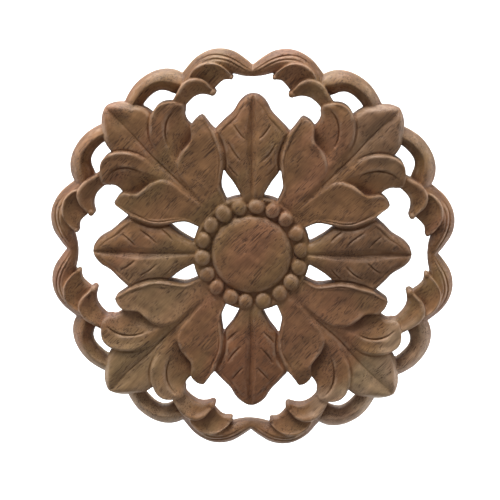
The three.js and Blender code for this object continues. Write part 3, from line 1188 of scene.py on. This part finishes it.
@dataclass(frozen=True)
class Waves:
    """Gentle waves that run every way, such as handwork leaves. Lengths are millimetres.

    Attributes:
        shortest: The shortest wave.
        longest: The longest one.
        count: How many there are.
        height: How far from true they spread.
    """

    shortest: float
    longest: float
    count: int
    height: float

    def at(self, plan: np.ndarray, chance: np.random.Generator) -> np.ndarray:
        """Adds the waves up.

        Args:
            plan: Rows of x and y.
            chance: Where their turns and lengths come from.

        Returns:
            How far from true each row lies.
        """
        total = np.zeros(len(plan))
        for _ in range(self.count):
            turn, phase = chance.uniform(0, 2 * math.pi, 2)
            length = chance.uniform(self.shortest, self.longest)
            course = plan @ np.array([math.cos(turn), math.sin(turn)])
            total += np.sin(course * 2 * math.pi / length + phase)
        return total / math.sqrt(self.count / 2) * self.height


@dataclass
class Rosette:
    """The carved panel. Lengths are millimetres.

    Attributes:
        node: The frame's node that it stands for.
        forms: Everything that is carved round the hub.
        buds: The knobs at the ends of the curls.
        hub: The drum, beads and button.
        cut_lines: The fine lines cut into the face.
        voxel: How finely the forms are merged.
        softening: Rounds of smoothing after that.
        most_triangles: What the finished mesh may have.
        face_from: Height above the back where the face starts.
        face_blend: Height over which cut lines and sanding come in.
        sanding: How uneven hand sanding leaves the face.
        drift: How far the forms stray sideways from the pattern.
        true_radius: Where the forms no longer stray, so that the rim keeps its size.
        true_blend: Length over which they come true.
        hollow_cells: How far round it a hollow is judged, in cells.
        hollow_depths: The depth where a hollow starts, and the further depth that fills it.
        edge_cells: How far round it an edge is judged, in cells.
        edge_heights: The height where an edge starts, and the further height that fills it.
        cell: Side of a cell of the grid that heights are averaged on.
        grid_reach: Half the side of that grid.
        seed: Where the unevenness comes from.
        piece: The finished piece, once it is built.
    """

    node: str = "carved_rosette"
    forms: tuple[Form, ...] = (
        AXIS_LEAF, MIDDLE_LOBE, INNER_LOBE, OUTER_LOBE, NEAR_CURL, FAR_CURL, AXIS_SCROLL,
        LEAF_SCROLL,
    )
    buds: tuple[Bud, ...] = BUDS
    hub: Hub = field(default_factory=Hub)
    cut_lines: tuple[CutLine, ...] = CUT_LINES
    voxel: float = 0.26
    softening: int = 2
    most_triangles: int = 196_000
    face_from: float = 3.0
    face_blend: float = 2.0
    sanding: Waves = Waves(shortest=2.5, longest=14, count=24, height=0.08)
    drift: Waves = Waves(shortest=14, longest=40, count=10, height=0.16)
    true_radius: float = 73.0
    true_blend: float = 6.0
    hollow_cells: int = 4
    hollow_depths: Point = (0.25, 1.5)
    edge_cells: int = 1
    edge_heights: Point = (0.05, 0.3)
    cell: float = 0.4
    grid_reach: float = 80.0
    seed: int = 7
    piece: bpy.types.Object | None = None

    def build(self) -> bpy.types.Object:
        """Models the rosette.

        Returns:
            The finished piece, standing in the frame.
        """
        blocks = self.hub.build()
        repeated = [(form.build(), form.repeat) for form in self.forms]
        repeated += [(bud.build(), Repeat.IN_WEDGES) for bud in self.buds]
        for first, repeat in repeated:
            blocks += [placed_copy(first, spot) for spot in repeat.placements()]
            bpy.data.objects.remove(first)
        LOG.info("carved %d blocks", len(blocks))
        only(*blocks)
        bpy.ops.object.join()
        self.piece = bpy.context.object
        self.piece.name = "rosette"
        self.piece.data.name = "rosette"
        apply_modifier(self.piece, "REMESH", mode="VOXEL", voxel_size=self.voxel * MM)
        apply_modifier(self.piece, "SMOOTH", factor=0.5, iterations=self.softening)
        self._cut_face()
        self._thin_out()
        self._mark_depths()
        self.piece.data.transform(Matrix.Rotation(math.pi / 2, 4, "X"))
        only(self.piece)
        bpy.ops.object.shade_smooth()
        return self.piece

    def _cut_face(self) -> None:
        """Cuts the fine lines, leaves the face as uneven as handwork and trues the back."""
        corners = corners_of(self.piece) / MM
        plan = corners[:, :2].copy()
        folded = np.sort(np.abs(plan), axis=1)
        face = np.clip((corners[:, 2] - self.face_from) / self.face_blend, 0, 1)
        for line in self.cut_lines:
            corners[:, 2] -= line.depth_at(folded) * face
        chance = np.random.default_rng(self.seed)
        corners[:, 2] += self.sanding.at(plan, chance) * face
        radius = np.linalg.norm(plan, axis=1)
        inside = np.clip((self.true_radius - radius) / self.true_blend, 0, 1)
        for side in (0, 1):
            corners[:, side] += self.drift.at(plan, chance) * inside
        corners[:, 2] = np.where(corners[:, 2] < self.voxel, 0, corners[:, 2])
        move_corners(self.piece, corners * MM)

    def _thin_out(self) -> None:
        """Takes out the corners that the shape doesn't need."""
        self.piece.data.calc_loop_triangles()
        count = len(self.piece.data.loop_triangles)
        LOG.info("merged into %d triangles", count)
        if count > self.most_triangles:
            apply_modifier(self.piece, "DECIMATE", ratio=self.most_triangles / count)

    def _mark_depths(self) -> None:
        """Stores for the finish how far each corner lies in a hollow, for painted shade, or out on
        an edge, for a pale tone of wear and painted highlight.
        """
        corners = corners_of(self.piece) / MM
        face = corners[:, 2] > self.face_from
        depth = self._around(corners, face, self.hollow_cells) - corners[:, 2]
        height = corners[:, 2] - self._around(corners, face, self.edge_cells)
        # hollow marks where shade is painted; edge marks the pale tone of wear and painted
        # highlight
        marks = (("hollow_shade", depth, self.hollow_depths), ("edge", height, self.edge_heights))
        for name, distance, (start, full) in marks:
            values = np.where(face, np.clip((distance - start) / full, 0, 1), 0)
            layer = self.piece.data.attributes.new(name, "FLOAT", "POINT")
            layer.data.foreach_set("value", values.astype(np.float32))

    def _around(self, corners: np.ndarray, face: np.ndarray, reach: int) -> np.ndarray:
        """Works out the mean height of the face round each corner.

        Args:
            corners: Rows of x, y and height.
            face: Which corners are on the face.
            reach: How far to look, in cells of the grid.

        Returns:
            A height for each corner.
        """
        count = int(2 * self.grid_reach / self.cell)
        index = tuple(((corners[:, :2] + self.grid_reach) / self.cell).astype(int).T)
        on_face = tuple(side[face] for side in index)
        total, hits = np.zeros((count, count)), np.zeros((count, count))
        np.add.at(total, on_face, corners[face, 2])
        np.add.at(hits, on_face, 1)
        total, hits = self._spread(total, reach), self._spread(hits, reach)
        return (total / np.maximum(hits, 1e-6))[index]

    def _spread(self, grid: np.ndarray, reach: int) -> np.ndarray:
        """Spreads each cell's value over its neighbours, twice along each side.

        Args:
            grid: The values.
            reach: How many cells each way.

        Returns:
            The spread values.
        """
        steps = range(-reach, reach + 1)
        for _ in range(2):
            for side in (0, 1):
                grid = sum(np.roll(grid, step, axis=side) for step in steps) / len(steps)
        return grid

    def dress(self, finish: BareWood) -> None:
        """Gives the piece its finish and puts it in the frame.

        Args:
            finish: What it is made of.
        """
        self.piece.data.materials.clear()
        self.piece.data.materials.append(finish.material())
        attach(self.piece, "root")
        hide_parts(self.node)


# The studio


class LightKind(Enum):
    """The kinds of lamp in the studio."""

    SOFT_BOX = "AREA"
    SKYLIGHT = "SUN"


@dataclass(frozen=True)
class Lamp:
    """A soft light that faces the rosette.

    Attributes:
        name: Which one it is.
        kind: A soft box near the rosette, or light from a wide skylight.
        place: Where it hangs, in metres.
        power: Its power, in watts for a soft box and watts per square metre for a skylight.
        spread: A soft box's width and height in metres. A skylight uses only the first, as the
            angle that it covers in radians.
        tint: Its colour.
    """

    name: str
    kind: LightKind
    place: tuple[float, float, float]
    power: float
    spread: Point
    tint: Colour = (1.0, 1.0, 1.0)

    def build(self) -> None:
        """Hangs the lamp and turns it to the rosette."""
        data = bpy.data.lights.new(self.name, self.kind.value)
        data.energy = self.power
        data.color = self.tint
        if self.kind is LightKind.SOFT_BOX:
            data.shape = "RECTANGLE"
            data.size, data.size_y = self.spread
        else:
            data.angle = self.spread[0]
        lamp = bpy.data.objects.new(self.name, data)
        lamp.location = self.place
        lamp.rotation_euler = (-Vector(self.place)).to_track_quat("-Z", "Y").to_euler()
        bpy.context.collection.objects.link(lamp)


@dataclass
class Studio:
    """The pale room, its soft lights and the camera. Lengths are metres, angles degrees.

    Attributes:
        azimuth: How far round to the right of the face the camera stands.
        elevation: How far above it.
        roll: How far the camera is turned about its line of sight.
        distance: From the camera to its aim.
        lens: Focal length in millimetres.
        sensor: Width of the camera's sensor in millimetres.
        clip: The nearest and the farthest that the camera sees.
        aim: What the camera points at.
        floor_drop: How far the floor lies below the rosette's centre.
        floor_radius: Of the floor with its sweep.
        floor_sides: Corners round it.
        floor_sweep: From the floor's outer edge in: how far in each ring lies, and its step
            in height.
        floor_tones: The two tones that cloud over it.
        cloud_scale: How often they change, in clouds to a metre.
        floor_roughness: Of its surface.
        room_light: Strength of the even light from all round.
        lamps: The other lights.
    """

    azimuth: float = 1.74
    elevation: float = 11.63
    roll: float = 0.34
    distance: float = 0.623
    lens: float = 120.5
    sensor: float = 36.0
    clip: Point = (0.05, 100.0)
    aim: tuple[float, float, float] = (-0.00070, -0.0026, 0.00039)
    floor_drop: float = 0.3
    floor_radius: float = 8.0
    floor_sides: int = 96
    floor_sweep: tuple[Point, ...] = ((1.0, -0.55), (1.2, -0.5), (1.4, -0.4), (1.4, -0.2))
    floor_tones: tuple[Colour, Colour] = ((0.9, 0.9, 0.9), (0.93, 0.93, 0.92))
    cloud_scale: float = 0.8
    floor_roughness: float = 0.9
    room_light: float = 0.32
    lamps: tuple[Lamp, ...] = (
        Lamp("front_skylight", LightKind.SKYLIGHT, (-0.25, -0.26, 1.0), 2.85, (0.6, 0.6)),
        Lamp("back_skylight", LightKind.SKYLIGHT, (-0.1, 0.4, 1.0), 4.4, (1.2, 1.2),
             tint=(0.88, 0.95, 1.0)),
        Lamp("left_box", LightKind.SOFT_BOX, (-0.6, 0.12, -0.08), 2.6, (0.5, 0.8)),
        Lamp("right_box", LightKind.SOFT_BOX, (0.6, 0.12, -0.1), 3.4, (0.5, 0.8)),
        Lamp("low_box", LightKind.SOFT_BOX, (0.0, 0.12, -0.28), 1.0, (0.8, 0.3)),
    )

    def build(self) -> None:
        """Sets up the room, the lights and the camera."""
        self._room()
        for lamp in self.lamps:
            lamp.build()
        self._camera()

    def _room(self) -> None:
        """Lays the pale floor, which sweeps up far away, and lights the room evenly."""
        bpy.ops.object.select_all(action="DESELECT")
        rise = -sum(step for _, step in self.floor_sweep)
        bpy.ops.mesh.primitive_circle_add(
            vertices=self.floor_sides, radius=self.floor_radius, fill_type="NGON",
            location=(0, 0, rise - self.floor_drop),
        )
        floor = bpy.context.object
        floor.name = "floor"
        bpy.ops.object.mode_set(mode="EDIT")
        bpy.ops.mesh.select_mode(type="FACE")
        bpy.ops.mesh.select_all(action="SELECT")
        for inwards, step in self.floor_sweep:
            bpy.ops.mesh.inset(thickness=inwards)
            bpy.ops.transform.translate(value=(0, 0, step))
        bpy.ops.object.mode_set(mode="OBJECT")
        sheet = ShaderSheet("pale_floor")
        place = sheet.add("ShaderNodeTexCoord", output="Object")
        cloud = sheet.add(
            "ShaderNodeTexNoise", inputs={"Vector": place, "Scale": self.cloud_scale},
        )
        colour = sheet.blend(cloud, *self.floor_tones)
        pale = sheet.finish(Base_Color=colour, Roughness=self.floor_roughness)
        floor.data.materials.append(pale)
        floor.visible_diffuse = False
        floor.visible_glossy = False
        world = bpy.data.worlds.new("pale_room")
        world.use_nodes = True
        backdrop = world.node_tree.nodes["Background"]
        backdrop.inputs["Color"].default_value = (1, 1, 1, 1)
        backdrop.inputs["Strength"].default_value = self.room_light
        scene = bpy.context.scene
        scene.world = world
        scene.view_settings.view_transform = "Standard"

    def _camera(self) -> None:
        """Puts the camera where the photograph was taken from."""
        turn, rise = math.radians(self.azimuth), math.radians(self.elevation)
        back = Vector((
            math.sin(turn) * math.cos(rise), -math.cos(turn) * math.cos(rise), math.sin(rise),
        ))
        data = bpy.data.cameras.new("camera")
        data.lens = self.lens
        data.sensor_width = self.sensor
        data.clip_start, data.clip_end = self.clip
        camera = bpy.data.objects.new("camera", data)
        level = back.to_track_quat("Z", "Y")
        rolled = Matrix.Rotation(math.radians(self.roll), 4, "Z")
        camera.matrix_world = (
            Matrix.Translation(Vector(self.aim) + back * self.distance)
            @ level.to_matrix().to_4x4() @ rolled
        )
        bpy.context.collection.objects.link(camera)
        bpy.context.scene.camera = camera


def main() -> None:
    """Builds the piece and the studio, and logs their sizes."""
    logging.basicConfig(level=logging.INFO, format="%(name)s: %(message)s")
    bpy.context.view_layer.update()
    studio = Studio()
    studio.build()
    LOG.info("studio: %d lamps, camera lens %.1f mm", len(studio.lamps), studio.lens)
    rosette = Rosette()
    piece = rosette.build()
    rosette.dress(BareWood())
    LOG.info("%s: %d faces", piece.name, len(piece.data.polygons))


if __name__ == "__main__":
    main()
